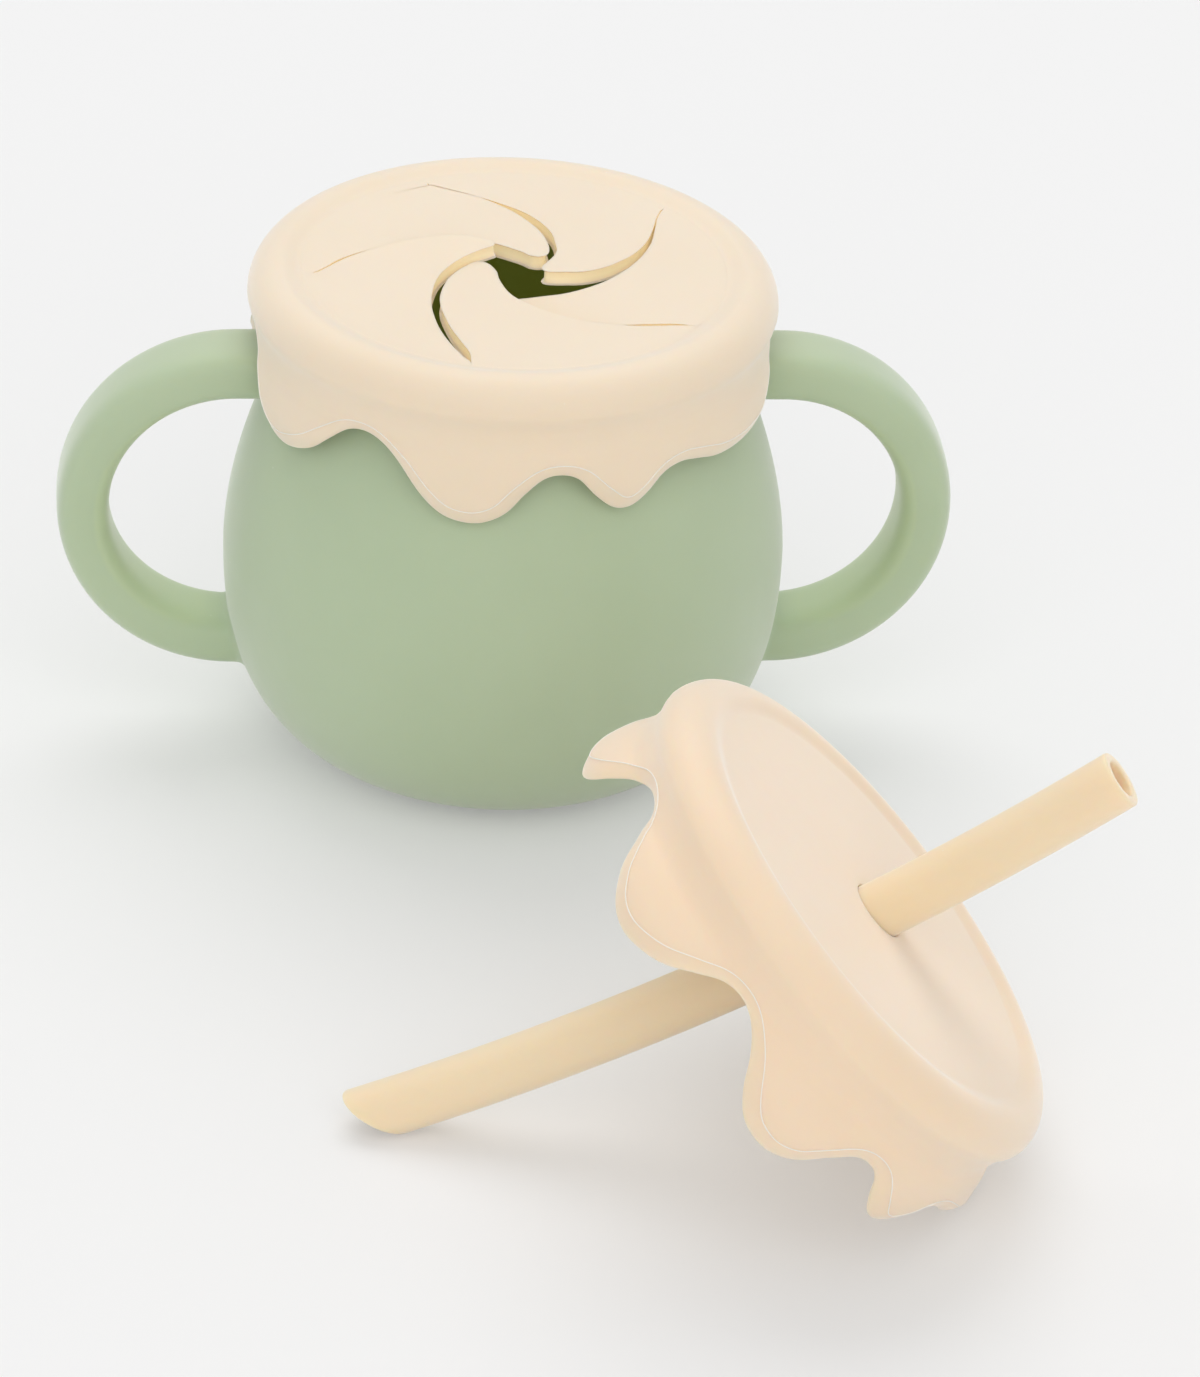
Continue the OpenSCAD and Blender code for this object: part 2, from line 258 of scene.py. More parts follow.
class NodeForm:
    """A Geometry Nodes tree that turns a path or profile into a finished mesh."""

    def __init__(self, name: str, sizes: dict[str, tuple[str, Any]]) -> None:
        """Starts a tree.

        Args:
            name: The tree's name.
            sizes: Named inputs, each with its socket type and default.
        """
        self.tree = bpy.data.node_groups.new(name, "GeometryNodeTree")
        face = self.tree.interface
        face.new_socket("Path", in_out="INPUT", socket_type="NodeSocketGeometry")
        for label, (kind, value) in sizes.items():
            socket = face.new_socket(label, in_out="INPUT", socket_type=kind)
            if value is not None:
                socket.default_value = value
        face.new_socket("Mesh", in_out="OUTPUT", socket_type="NodeSocketGeometry")
        self.source = self.tree.nodes.new("NodeGroupInput")
        self.result = self.tree.nodes.new("NodeGroupOutput")

    def add(self, kind: str, **links: Any) -> bpy.types.Node:
        """Adds a node.

        Args:
            kind: The node's type.
            **links: Socket name (spaces as underscores) to an output socket or a plain value.

        Returns:
            The node.
        """
        node = self.tree.nodes.new(kind)
        for label, value in links.items():
            socket = node.inputs[label.replace("_", " ")]
            if isinstance(value, bpy.types.NodeSocket):
                self.tree.links.new(value, socket)
            else:
                socket.default_value = value
        return node

    def given(self, label: str) -> bpy.types.NodeSocket:
        """The tree's input of that name."""
        return self.source.outputs[label]

    def close(self, mesh: bpy.types.NodeSocket) -> None:
        """Ends the tree with Realize Instances and Set Material."""
        whole = self.add("GeometryNodeRealizeInstances", Geometry=mesh)
        dressed = self.add("GeometryNodeSetMaterial", Geometry=whole.outputs[0],
                           Material=self.given("Finish"))
        self.tree.links.new(dressed.outputs[0], self.result.inputs["Mesh"])

    def bake(self, name: str, path: np.ndarray, closed: bool, values: dict[str, Any], sharp: float
             ) -> bpy.types.Object:
        """Runs the tree on a path and keeps the result as a plain mesh.

        Args:
            name: The piece's name.
            path: Points in millimetres.
            closed: Whether the path closes on itself.
            values: Values of the tree's named inputs.
            sharp: Angle in degrees above which an edge stays crisp.

        Returns:
            The finished object.
        """
        line = bpy.data.meshes.new(name + "_path")
        count = len(path)
        edges = [(i, i + 1) for i in range(count - 1)] + ([(count - 1, 0)] if closed else [])
        line.from_pydata((np.asarray(path) * MM).tolist(), edges, [])
        carrier = bpy.data.objects.new(name + "_path", line)
        bpy.context.scene.collection.objects.link(carrier)
        modifier = carrier.modifiers.new(self.tree.name, "NODES")
        modifier.node_group = self.tree
        for item in self.tree.interface.items_tree:
            if item.item_type == "SOCKET" and item.in_out == "INPUT" and item.name in values:
                modifier[item.identifier] = values[item.name]
        graph = bpy.context.evaluated_depsgraph_get()
        mesh = bpy.data.meshes.new_from_object(carrier.evaluated_get(graph), depsgraph=graph)
        carrier.modifiers.remove(modifier)
        bpy.data.objects.remove(carrier)
        bpy.data.meshes.remove(line)
        clean(mesh, False)
        return place(name, mesh, values["Finish"], sharp)


def turned_form() -> NodeForm:
    """A profile turned about the upright axis, for the bowl."""
    form = NodeForm("turned_form", {
        "Facets": ("NodeSocketInt", 192),
        "Axis Radius": ("NodeSocketFloat", 0.01),
        "Finish": ("NodeSocketMaterial", None),
    })
    profile = form.add("GeometryNodeMeshToCurve", Mesh=form.given("Path"))
    circle = form.add("GeometryNodeCurvePrimitiveCircle", Resolution=form.given("Facets"),
                      Radius=form.given("Axis Radius"))
    swept = form.add("GeometryNodeCurveToMesh", Curve=circle.outputs[0], Profile_Curve=profile.outputs[0])
    joined = form.add("GeometryNodeMergeByDistance", Geometry=swept.outputs[0], Distance=1e-6)
    form.close(joined.outputs[0])
    return form


def bead_on_path() -> NodeForm:
    """A fine round bead that follows a closed path, for the mould line round a skirt."""
    form = NodeForm("bead_on_path", {
        "Bead Radius": ("NodeSocketFloat", 0.0001),
        "Sides": ("NodeSocketInt", 6),
        "Finish": ("NodeSocketMaterial", None),
    })
    line = form.add("GeometryNodeMeshToCurve", Mesh=form.given("Path"))
    ring = form.add("GeometryNodeCurvePrimitiveCircle", Resolution=form.given("Sides"),
                    Radius=form.given("Bead Radius"))
    swept = form.add("GeometryNodeCurveToMesh", Curve=line.outputs[0], Profile_Curve=ring.outputs[0])
    form.close(swept.outputs[0])
    return form


class Shades:
    """A node material, with short ways to add nodes to it."""

    def __init__(self, name: str) -> None:
        """Starts a material with a plain shader."""
        self.material = bpy.data.materials.new(name)
        self.material.use_nodes = True
        self.nodes, self.links = self.material.node_tree.nodes, self.material.node_tree.links
        self.shader = self.nodes["Principled BSDF"]

    def set(self, node: bpy.types.Node, values: dict[str | int, Any]) -> bpy.types.Node:
        """Gives a node's inputs their values.

        Args:
            node: The node.
            values: Input name or number to a plain value or another node's output.

        Returns:
            The same node.
        """
        for key, value in values.items():
            if isinstance(value, bpy.types.NodeSocket):
                self.links.new(value, node.inputs[key])
            else:
                node.inputs[key].default_value = value
        return node

    def add(self, kind: str, values: dict[str | int, Any], **settings: str) -> bpy.types.Node:
        """Adds a node.

        Args:
            kind: The shader node's type, without its common start.
            values: Its inputs.
            **settings: Its own settings, such as the operation.

        Returns:
            The node.
        """
        node = self.nodes.new("ShaderNode" + kind)
        for key, value in settings.items():
            setattr(node, key, value)
        return self.set(node, values)

    def times(self, a: Any, b: Any) -> bpy.types.NodeSocket:
        """The product of two values."""
        return self.add("Math", {0: a, 1: b}, operation="MULTIPLY").outputs[0]

    def ramp(self, source: bpy.types.NodeSocket, low: float, high: float, a: Any, b: Any
             ) -> bpy.types.NodeSocket:
        """Colour ramp from a at low to b at high."""
        node = self.add("ValToRGB", {"Fac": source})
        for end, (at, colour) in enumerate(((low, a), (high, b))):
            node.color_ramp.elements[end].position, node.color_ramp.elements[end].color = at, (*colour, 1)
        return node.outputs["Color"]


@dataclass(frozen=True)
class Silicone:
    """Soft matte silicone: fine grain, a slow drift of shade, dust specks and a little light inside.

    Two dim painted glows, emission that stands for daylight passing through the soft material though it is no
    lamp: one on faces that look at the upright axis, for the cup's inside, and one on upright faces, for the
    flaps' cut edges.
    """

    name: str
    colour: tuple[float, float, float]
    deep: tuple[float, float, float]
    roughness: float = 0.52
    inner_light: float = 0.25
    inner_reach: float = 0.0016
    grain: float = 0.05
    dust: float = 0.35
    bloom: float = 0.6
    inside_painted_glow: float = 0.0
    wall_painted_glow: float = 0.0

    def build(self) -> bpy.types.Material:
        """Makes the material.

        Returns:
            The node material.
        """
        shades = Shades(self.name)
        space = shades.add("TexCoord", {})
        place_of = space.outputs["Object"]

        def noise(scale: float, detail: float, rough: float) -> bpy.types.NodeSocket:
            """Noise on Object coordinates."""
            values = {"Scale": scale, "Detail": detail, "Roughness": rough, "Vector": place_of}
            return shades.add("TexNoise", values).outputs["Fac"]

        drift = shades.ramp(noise(38.0, 2.0, 0.5), 0.3, 0.7, self.deep, self.colour)
        specks = shades.add("TexVoronoi", {"Scale": 210.0, "Vector": place_of})
        dots = shades.ramp(specks.outputs["Distance"], 0.02, 0.05, WHITE, BLACK)
        some = shades.ramp(noise(160.0, 1.0, 0.5), 0.60, 0.66, BLACK, WHITE)
        amount = shades.times(shades.times(dots, some), self.dust)
        dusted = shades.add("Mix", {0: amount, 6: drift, 7: (0.93, 0.92, 0.9, 1)}, data_type="RGBA")
        worn = shades.add("MapRange", {"To Min": self.roughness - 0.05, "To Max": self.roughness + 0.05,
                                       "Value": noise(90.0, 3.0, 0.6)})
        slow = shades.add("Bump", {"Strength": 0.12, "Distance": 0.0006, "Height": noise(110.0, 2.0, 0.5)})
        bump = shades.add("Bump", {"Strength": self.grain, "Distance": 0.0002,
                                   "Height": noise(2600.0, 3.0, 0.6), "Normal": slow.outputs["Normal"]})
        shades.set(shades.shader, {
            "Base Color": dusted.outputs[2], "Roughness": worn.outputs["Result"],
            "Normal": bump.outputs["Normal"], "IOR": 1.42, "Subsurface Weight": self.inner_light,
            "Subsurface Scale": self.inner_reach, "Subsurface Radius": (1.0, 0.7, 0.4),
            "Sheen Weight": self.bloom, "Sheen Roughness": 0.45})
        # Painted glow: faces that look at the upright axis emit a dim yellow light, standing for light
        # through the silicone inside the cup.
        if self.inside_painted_glow:
            level = shades.add("VectorMath", {0: place_of, 1: (1, 1, 0)}, operation="MULTIPLY")
            inward = shades.add("VectorMath", {0: level.outputs[0], 1: space.outputs["Normal"]},
                                operation="DOT_PRODUCT")
            self.paint_glow(shades, inward.outputs["Value"], (-0.002, -0.012), self.inside_painted_glow, (1.0, 1.0, 0.02))
        # Painted glow: upright faces emit a warm light that lightens the flaps' cut walls, standing for light
        # through the silicone.
        if self.wall_painted_glow:
            apart = shades.add("SeparateXYZ", {0: space.outputs["Normal"]})
            slope = shades.add("Math", {0: apart.outputs["Z"]}, operation="ABSOLUTE")
            self.paint_glow(shades, slope.outputs[0], (0.75, 0.1), self.wall_painted_glow, (1.0, 0.82, 0.38))
        return shades.material

    @staticmethod
    def paint_glow(shades: Shades, mask: bpy.types.NodeSocket, span: Pair, strength: float,
              colour: tuple[float, float, float]) -> None:
        """Adds a painted glow: emission that brightens the surface though it is no lamp.

        Args:
            shades: The material.
            mask: The value that steers it.
            span: The values of the mask where the glow starts and where it is full.
            strength: The full strength.
            colour: The glow's colour.
        """
        share = shades.add("MapRange", {"From Min": span[0], "From Max": span[1], "To Max": strength,
                                        "Value": mask})
        shades.set(shades.shader, {"Emission Color": (*colour, 1),
                                   "Emission Strength": share.outputs["Result"]})


# The green carries a painted yellow glow on the cup's inside faces.
GREEN = Silicone("sage_silicone", (0.475, 0.575, 0.385), (0.455, 0.555, 0.365), inside_painted_glow=0.022)
CREAM = Silicone("cream_silicone", (0.88, 0.745, 0.575), (0.87, 0.73, 0.555),
                 inner_light=0.4, inner_reach=0.0007)
# The flaps' cream carries a painted warm glow on their cut walls.
FLAP = replace(CREAM, name="flap_silicone", wall_painted_glow=0.28)
TAN = Silicone("warm_cream_silicone", (0.88, 0.715, 0.53), (0.87, 0.70, 0.51),
               inner_light=0.6, inner_reach=0.0024)
STRAW = replace(TAN, name="straw_silicone", colour=(0.90, 0.72, 0.50), deep=(0.89, 0.705, 0.48))
# The mould line's pale colour is a painted highlight along the skirt's edge; the bead itself is the real
# mould ridge.
HIGHLIGHT_LINE = Silicone("mould_line_painted_highlight", (0.95, 0.90, 0.82), (0.94, 0.89, 0.81), inner_light=0.0)


def dress(piece: bpy.types.Object, body: Body, slot: Slot, *nodes: str) -> bpy.types.Object:
    """Sets a piece on its body.

    Args:
        piece: The finished piece.
        body: The body it rides on.
        slot: The record's slot of the piece; not used.
        *nodes: The solids that it stands for.

    Returns:
        The piece.
    """
    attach(piece, body.value)
    if nodes:
        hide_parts(*nodes)
    LOG.info("%s rides on %s, %d faces", piece.name, body.value, len(piece.data.polygons))
    return piece


@dataclass
class Cup:
    """The round-bellied cup with its rolled rim and two strap handles."""

    base_r: float = 22.0
    belly_r: float = 45.1
    belly_z: float = 33.5
    neck_r: float = 34.7
    neck_z: float = 69.3
    lower_round: float = 2.35
    upper_swell: float = 1.8
    wall: float = 3.0
    floor: float = 4.0
    rim_r: float = 38.15
    rim_w: float = 4.95
    rim_h: float = 10.55
    rim_round: float = 1.6
    handle_x: float = 43.6
    handle_z: float = 41.4
    handle_r: float = 24.1
    strap_w: float = 13.0
    strap_t: float = 8.4
    strap_square: float = 3.4
    handle_turn: float = 5.9
    root_round: float = 1.5

    def radius(self, z: float) -> float:
        """Outer radius of the bowl at that height."""
        if z < self.belly_z:
            k = min(max((self.belly_z - z) / self.belly_z, 0.0), 1.0)
            share = (1 - k ** self.lower_round) ** (1 / self.lower_round)
            return self.base_r + (self.belly_r - self.base_r) * share
        k = min((z - self.belly_z) / (self.neck_z - self.belly_z), 1.0)
        return self.belly_r - (self.belly_r - self.neck_r) * k ** self.upper_swell

    def side(self, base: float, belly: float, neck: float, foot: float, steps: int = 40) -> list[Pair]:
        """One skin of the bowl from its flat foot up to the neck."""
        low = []
        for i in range(steps + 1):
            t = math.radians(90 - 90 * i / steps)
            low.append((base + (belly - base) * math.cos(t) ** (2 / self.lower_round),
                        self.belly_z - (self.belly_z - foot) * math.sin(t) ** (2 / self.lower_round)))
        high = [(belly - (belly - neck) * (i / steps) ** self.upper_swell,
                 self.belly_z + (self.neck_z - self.belly_z) * i / steps) for i in range(1, steps + 1)]
        return low + high

    def profile(self) -> list[Pair]:
        """The bowl's whole section from the axis under the foot to the axis on the inner floor."""
        top = self.neck_z + self.rim_h
        foot = self.neck_z + self.rim_h * 0.3
        mouth, r = self.rim_r - self.rim_w, self.rim_round

        def arc(cx: float, cz: float, a0: float, a1: float) -> list[Pair]:
            """Points on a round edge of the rim."""
            return [(cx + r * math.cos(math.radians(a)), cz + r * math.sin(math.radians(a)))
                    for a in np.linspace(a0, a1, 9)]

        rim = (arc(self.rim_r - r, foot + r, -60, 0) + arc(self.rim_r - r, top - r, 0, 90)
               + arc(mouth + r, top - r, 90, 180))
        outer = [(0.0, 0.0)] + self.side(self.base_r, self.belly_r, self.neck_r, 0.0)
        inner = [(0.0, self.floor)] + self.side(self.base_r - self.wall / 3, self.belly_r - self.wall,
                                                self.neck_r - self.wall, self.floor)
        return outer + rim + inner[::-1]

    def bowl(self, finish: bpy.types.Material) -> bpy.types.Object:
        """Turns the bowl from its profile."""
        axis = 10.0
        path = np.array([(r - axis, -z, 0.0) for r, z in self.profile()])
        sizes = {"Facets": 224, "Axis Radius": axis * MM, "Finish": finish}
        return turned_form().bake("cup", path, False, sizes, 40)

    def section(self, count: int = 44) -> list[Pair]:
        """The strap's rounded rectangle: thickness first, width second."""
        points = []
        for i in range(count):
            a = math.radians(360 * i / count)
            c, s = math.cos(a), math.sin(a)
            p = 2 / self.strap_square
            points.append((math.copysign(abs(c) ** p, c) * self.strap_t / 2,
                           math.copysign(abs(s) ** p, s) * self.strap_w / 2))
        return points

    def on_strap(self, s: float, thick: float, wide: float) -> np.ndarray:
        """A point of the strap.

        Args:
            s: Way along the centre line from its outermost point, upwards positive.
            thick: Offset outwards in the arch's plane.
            wide: Offset across the strap.

        Returns:
            The point, before the handles' turn.
        """
        quarter = self.handle_r * math.pi / 2
        side = 1.0 if s > 0 else -1.0
        if abs(s) <= quarter:
            a = s / self.handle_r
            r = self.handle_r + thick
            return np.array([self.handle_x + r * math.cos(a), wide, self.handle_z + r * math.sin(a)])
        beyond = abs(s) - quarter
        return np.array([self.handle_x - beyond, wide, self.handle_z + side * (self.handle_r + thick)])

    def clear_of_bowl(self, p: np.ndarray) -> float:
        """How far a point is outside the bowl, level."""
        return math.hypot(p[0], p[1]) - self.radius(p[2])

    def bowl_normal(self, p: np.ndarray) -> np.ndarray:
        """The bowl's outward direction beside a point."""
        slope = (self.radius(p[2] + 0.05) - self.radius(p[2] - 0.05)) / 0.1
        return unit((p[0], p[1], -slope * math.hypot(p[0], p[1])))

    def string(self, thick: float, wide: float, side: int, steps: int) -> list[np.ndarray]:
        """One line along the strap from its middle to a root that fans out on the bowl.

        Args:
            thick: Offset outwards in the arch's plane.
            wide: Offset across the strap.
            side: 1 for the upper root, -1 for the lower.
            steps: Points before the root's round.

        Returns:
            The line's points.
        """
        low, high = self.handle_r * 0.9, self.handle_r * math.pi / 2 + 16
        for _ in range(40):
            mid = (low + high) / 2
            clear = self.clear_of_bowl(self.on_strap(side * mid, thick, wide))
            low, high = (mid, high) if clear > 0 else (low, mid)
        hit = self.on_strap(side * low, thick, wide)
        normal = self.bowl_normal(hit)
        near, far = (self.on_strap(side * (low + step), thick, wide) for step in (-0.1, 0.1))
        ahead = unit(far - near)
        out = unit((thick / (self.strap_t / 2) ** 2, wide / (self.strap_w / 2) ** 2))
        radial = unit(self.on_strap(side * low, thick + 1, wide) - hit)
        away = radial * out[0] + np.array([0.0, 1.0, 0.0]) * out[1]
        away = unit(away - normal * (away @ normal))
        start = low - self.root_round / max(0.4, abs(ahead @ normal))
        line = [self.on_strap(side * start * k / steps, thick, wide) for k in range(steps + 1)]
        end = hit + away * self.root_round
        end -= normal * (self.clear_of_bowl(end) * 0.95)
        first = line[-1]
        for k in range(1, 8):
            t = k / 7
            line.append(first * (1 - t) ** 2 + hit * 2 * t * (1 - t) + end * t * t - normal * 0.03 * t)
        line.append(end - normal * 1.0)
        return line

    def handle(self, name: str, degrees: float, finish: bpy.types.Material) -> bpy.types.Object:
        """Lofts one handle from its strings.

        Args:
            name: The piece's name.
            degrees: Turn about the cup's axis.
            finish: The material.

        Returns:
            The handle.
        """
        strings = []
        for thick, wide in self.section():
            up = self.string(thick, wide, 1, 34)
            down = self.string(thick, wide, -1, 34)
            strings.append(down[:0:-1] + up)
        rows = np.array(strings).transpose(1, 0, 2)
        count = rows.shape[1]
        points = list(rows.reshape(-1, 3))
        faces = grid_faces(len(rows), count, False, True)
        for row in (0, len(rows) - 1):
            ring = [row * count + k for k in range(count)]
            points.append(rows[row].mean(axis=0))
            faces += [(ring[k], ring[(k + 1) % count], len(points) - 1) for k in range(count)]
        a = math.radians(degrees)
        spin = np.array([[math.cos(a), -math.sin(a), 0], [math.sin(a), math.cos(a), 0], [0, 0, 1]])
        return mesh_object(name, np.array(points) @ spin.T, faces, finish, 60)

    def make(self) -> list[bpy.types.Object]:
        """Makes and dresses the cup.

        Returns:
            The bowl and both handles.
        """
        green = GREEN.build()
        return [
            dress(self.bowl(green), Body.CUP, Slot.CUP, "cup_bowl"),
            *(dress(self.handle(name, self.handle_turn + more, green), Body.CUP, slot, node)
              for name, more, slot, node in (("strap_right", 0, Slot.RIGHT_HANDLE, "right_handle"),
                                             ("strap_left", 180, Slot.LEFT_HANDLE, "left_handle"))),
        ]


@dataclass
class DripForm:
    """The form both lids share: a rounded ring and a skirt that hangs like dripping icing."""

    full_r: float = 43.5
    seam_r: float = 33.6
    crease_in: float = 33.65
    crown_r: float = 36.9
    crown_h: float = 0.75
    ring_r: float = 42.0
    ring_z: float = 4.55
    bore_r: float = 38.5
    plate_t: float = 2.4
    lip: tuple[float, float, float] = (32.5, 33.05, 5.0)
    split: float = 6.6
    valley: Pair = (9.3, 40.86)
    skirt: tuple[Pair, ...] = (
        (4.55, 42.0), (5.5, 41.76), (6.6, 41.25), (7.75, 40.97), (9.3, 40.86), (10.5, 41.02), (12.3, 41.95),
        (14.4, 42.78), (16.0, 43.3), (17.4, 43.48), (25.0, 43.5))
    wall: float = 2.5
    tip_drip: float = 2.7
    tip_dip: float = 1.8
    columns: int = 640
    bead_r: float = 0.09
    edge: tuple[Pair, ...] = (
        (-174.0, 9.8), (-169.0, 10.4), (-163.0, 13.8), (-157.5, 17.9), (-152.0, 20.5), (-146.8, 21.1),
        (-141.5, 20.2), (-136.0, 18.2), (-131.3, 15.3), (-127.0, 12.9), (-122.2, 12.1), (-117.3, 13.0),
        (-112.3, 15.7), (-107.6, 19.8), (-103.5, 22.3), (-98.3, 23.5), (-93.2, 23.2), (-88.2, 21.1),
        (-84.6, 18.0), (-80.8, 15.6), (-77.0, 15.0), (-72.9, 15.9), (-69.0, 19.0), (-64.8, 21.5),
        (-60.5, 21.8), (-56.2, 19.9), (-53.0, 17.7), (-48.1, 16.6), (-42.8, 17.2), (-37.1, 18.3),
        (-30.0, 18.8), (-24.0, 18.7), (-17.6, 17.8), (-11.0, 15.2), (-4.0, 11.9), (4.0, 10.8), (13.0, 11.8),
        (21.0, 14.6), (28.0, 16.8), (35.0, 16.6), (42.0, 14.9), (48.0, 13.2), (54.0, 12.8), (61.0, 14.9),
        (68.5, 19.2), (76.0, 21.0), (83.5, 19.5), (91.0, 15.1), (99.0, 13.5), (106.5, 14.6), (114.0, 17.3),
        (121.0, 18.2), (128.0, 16.8), (136.0, 13.4), (143.0, 12.2), (150.0, 14.0), (156.0, 17.4),
        (161.5, 19.6), (167.0, 20.0), (172.5, 17.6), (178.5, 12.2))

    def depth(self, degrees: Any) -> np.ndarray:
        """Depth of the skirt's edge at angles."""
        return smooth_round(self.edge, degrees)

    def outside(self, depth: Any) -> np.ndarray:
        """Outer radius at a depth below the flat middle, from the ring's equator down."""
        radius = through(self.skirt, depth)
        low, narrow = self.valley
        part = (self.full_r - narrow) / (self.skirt[-1][1] - narrow)
        return np.where(np.asarray(depth) > low, narrow + (radius - narrow) * part, radius)

    def inside(self, depth: Any) -> np.ndarray:
        """Inner radius at that depth."""
        return np.maximum(self.bore_r, self.outside(depth) - self.wall)

    def angles(self) -> np.ndarray:
        """Column angles, closer together where the edge is steep."""
        fine = np.linspace(-180, 180, 5761)
        step = np.hypot(np.diff(np.radians(fine)) * SKIN_R, np.diff(self.depth(fine)))
        way = np.concatenate([[0], np.cumsum(step)])
        return np.interp(np.linspace(0, way[-1], self.columns, endpoint=False), way, fine)

    def tip(self) -> list[Pair]:
        """Section of the skirt's edge: way across the wall from 1 outside to -1 inside, and way down."""
        low, start, bend, end = -0.35, (1.0, 0.0), (0.16, 1.0), (-0.35, 1.0)
        points = []
        for t in np.linspace(0, 1, 11):
            a, b, c = (1 - t) ** 2, 2 * t * (1 - t), t * t
            points.append((a * start[0] + b * bend[0] + c * end[0], a * start[1] + b * bend[1] + c * end[1]))
        for t in np.linspace(0, 1, 9)[1:]:
            a = math.radians(90 * t)
            points.append((low - (1 + low) * math.sin(a), math.cos(a)))
        return points

    def crown(self) -> list[Pair]:
        """The fixed part of the outside: from the seam over the crown to the shoulder."""
        rise = [(r, self.crown_h * float(ease((r - self.crease_in) / (self.crown_r - self.crease_in))))
                for r in np.linspace(self.crease_in, self.crown_r, 14)]
        wide, tall = self.ring_r - self.crown_r, self.crown_h + self.ring_z
        round_ = [(self.crown_r + wide * math.cos(a), tall * math.sin(a) - self.ring_z)
                  for a in map(math.radians, np.linspace(84, 0, 14))]
        low = [(float(self.outside(d)), -float(d)) for d in np.linspace(4.9, self.split, 4)]
        return [(self.seam_r, 0.0)] + rise + round_ + low

    def rings(self) -> tuple[list[np.ndarray], int]:
        """The rows of the ring and skirt.

        Returns:
            Rows of points from the seam on top, round the outside and the edge, up the inside to the seam
            below, and the number of the row where the rounded edge starts.
        """
        a = self.angles()
        turns, low = np.radians(a), self.depth(a)
        tip = self.tip_dip + (self.tip_drip - self.tip_dip) * ease((low - 11.0) / 9.0)
        u, half = turns * SKIN_R, math.pi * SKIN_R
        du = (np.roll(u, -1) - np.roll(u, 1) + half) % (2 * half) - half
        dv = np.roll(low, -1) - np.roll(low, 1)
        size = np.hypot(du, dv)
        mu, mv = -dv / size, du / size

        def row(radius: Any, at: np.ndarray, depth: Any) -> np.ndarray:
            """Points at a radius, an angle and a depth, column by column."""
            r, d = np.broadcast_to(radius, at.shape), np.broadcast_to(depth, at.shape)
            return np.stack([r * np.cos(at), r * np.sin(at), -d], axis=1)

        rows = [row(r, turns, -z) for r, z in self.crown()]
        edge_u, edge_v = u - tip * mu, low - tip * mv
        steps = 18
        for k in range(1, steps + 1):
            t = k / steps
            depth = self.split + (edge_v - self.split) * t
            rows.append(row(self.outside(depth), (u + (edge_u - u) * ease(t)) / SKIN_R, depth))
        start = len(rows) - 1
        for across, down in self.tip()[1:]:
            at_u, at_v = u - tip * (1 - down) * mu, low - tip * (1 - down) * mv
            outer, inner = self.outside(at_v), self.inside(at_v)
            rows.append(row((outer + inner) / 2 + (outer - inner) / 2 * across, at_u / SKIN_R, at_v))
        for k in range(steps - 1, -1, -1):
            t = k / steps
            depth = self.split + (edge_v - self.split) * t
            rows.append(row(self.inside(depth), (u + (edge_u - u) * ease(t)) / SKIN_R, depth))
        r = 0.8
        for z in (5.4, 4.2):
            rows.append(row(self.bore_r, turns, z))
        for angle in np.linspace(0, 90, 5):
            rows.append(row(self.bore_r - r + r * math.cos(math.radians(angle)), turns,
                            self.plate_t + r - r * math.sin(math.radians(angle))))
        lip_in, lip_out, lip_low = self.lip
        for radius, z in ((36.0, self.plate_t), (lip_out, self.plate_t + 0.02), (lip_out, lip_low - 0.2),
                          (lip_out - 0.15, lip_low), (lip_in + 0.15, lip_low), (lip_in, lip_low - 0.2),
                          (lip_in, self.plate_t + 0.02), (self.seam_r, self.plate_t)):
            rows.append(row(radius, turns, z))
        return rows, start

    def bead_path(self, rows: list[np.ndarray], start: int, lift: float = 0.02) -> np.ndarray:
        """The mould line's path, just proud of the outer face where the rounded edge starts."""
        line = rows[start].copy()
        line[:, :2] *= 1 + lift / 43.5
        return line

    def bead(self, name: str, path: np.ndarray, finish: bpy.types.Material) -> bpy.types.Object:
        """Makes the mould line along its path: a real ridge, whose pale finish is a painted highlight."""
        sizes = {"Bead Radius": self.bead_r * MM, "Sides": 6, "Finish": finish}
        return bead_on_path().bake(name, path, True, sizes, 80)


